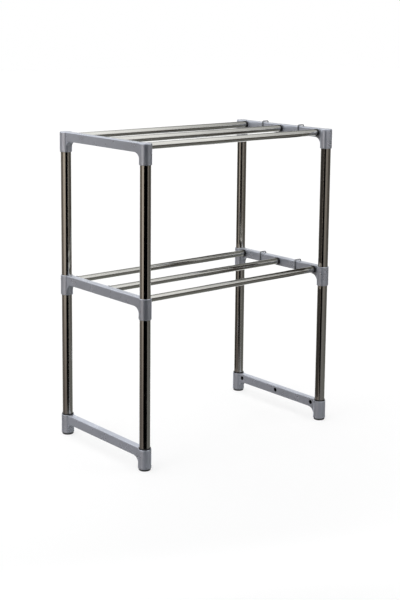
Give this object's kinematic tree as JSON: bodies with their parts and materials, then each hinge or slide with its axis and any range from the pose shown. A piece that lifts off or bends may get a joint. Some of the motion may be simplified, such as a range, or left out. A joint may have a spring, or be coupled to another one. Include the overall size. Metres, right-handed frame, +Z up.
{
  "type": "microwave rack",
  "caption": "Open rack with an upper and a lower shelf of steel rails, pushed into moulded side frames on tubular steel legs.",
  "frame": {"origin": "on the surface the rack stands on, in the middle of its four feet", "axes": "+X to the right, +Y to the back, +Z up"},
  "size_m": [0.5932, 0.3412, 0.7495],
  "materials": {
    "grey_plastic": "moulded, semi-matt",
    "steel_tube": "polished",
    "black_plastic": "moulded, semi-matt",
    "foot_rubber": "matt",
    "clip_wire": "satin grey coating"
  },
  "bodies": {
    "root": {"foot_collar_back_left": "black_plastic", "foot_collar_back_right": "black_plastic", "foot_collar_front_left": "black_plastic", "foot_collar_front_right": "black_plastic", "foot_frame_left": "grey_plastic", "foot_frame_right": "grey_plastic", "foot_pad_back_left": "foot_rubber", "foot_pad_back_right": "foot_rubber", "foot_pad_front_left": "foot_rubber", "foot_pad_front_right": "foot_rubber", "lower_leg_back_left": "steel_tube", "lower_leg_back_right": "steel_tube", "lower_leg_front_left": "steel_tube", "lower_leg_front_right": "steel_tube", "middle_clip_back": "clip_wire", "middle_clip_front": "clip_wire", "middle_frame_left": "grey_plastic", "middle_frame_right": "grey_plastic", "middle_rail_back": "steel_tube", "middle_rail_cap_back_left": "black_plastic", "middle_rail_cap_back_right": "black_plastic", "middle_rail_cap_front_left": "black_plastic", "middle_rail_cap_front_right": "black_plastic", "middle_rail_cap_middle_left": "black_plastic", "middle_rail_cap_middle_right": "black_plastic", "middle_rail_front": "steel_tube", "middle_rail_middle": "steel_tube", "top_clip_back": "clip_wire", "top_clip_front": "clip_wire", "top_frame_left": "grey_plastic", "top_frame_right": "grey_plastic", "top_rail_back": "steel_tube", "top_rail_cap_back_left": "black_plastic", "top_rail_cap_back_right": "black_plastic", "top_rail_cap_front_left": "black_plastic", "top_rail_cap_front_right": "black_plastic", "top_rail_cap_middle_left": "black_plastic", "top_rail_cap_middle_right": "black_plastic", "top_rail_front": "steel_tube", "top_rail_middle": "steel_tube", "upper_leg_back_left": "steel_tube", "upper_leg_back_right": "steel_tube", "upper_leg_front_left": "steel_tube", "upper_leg_front_right": "steel_tube"}
  },
  "joints": []
}
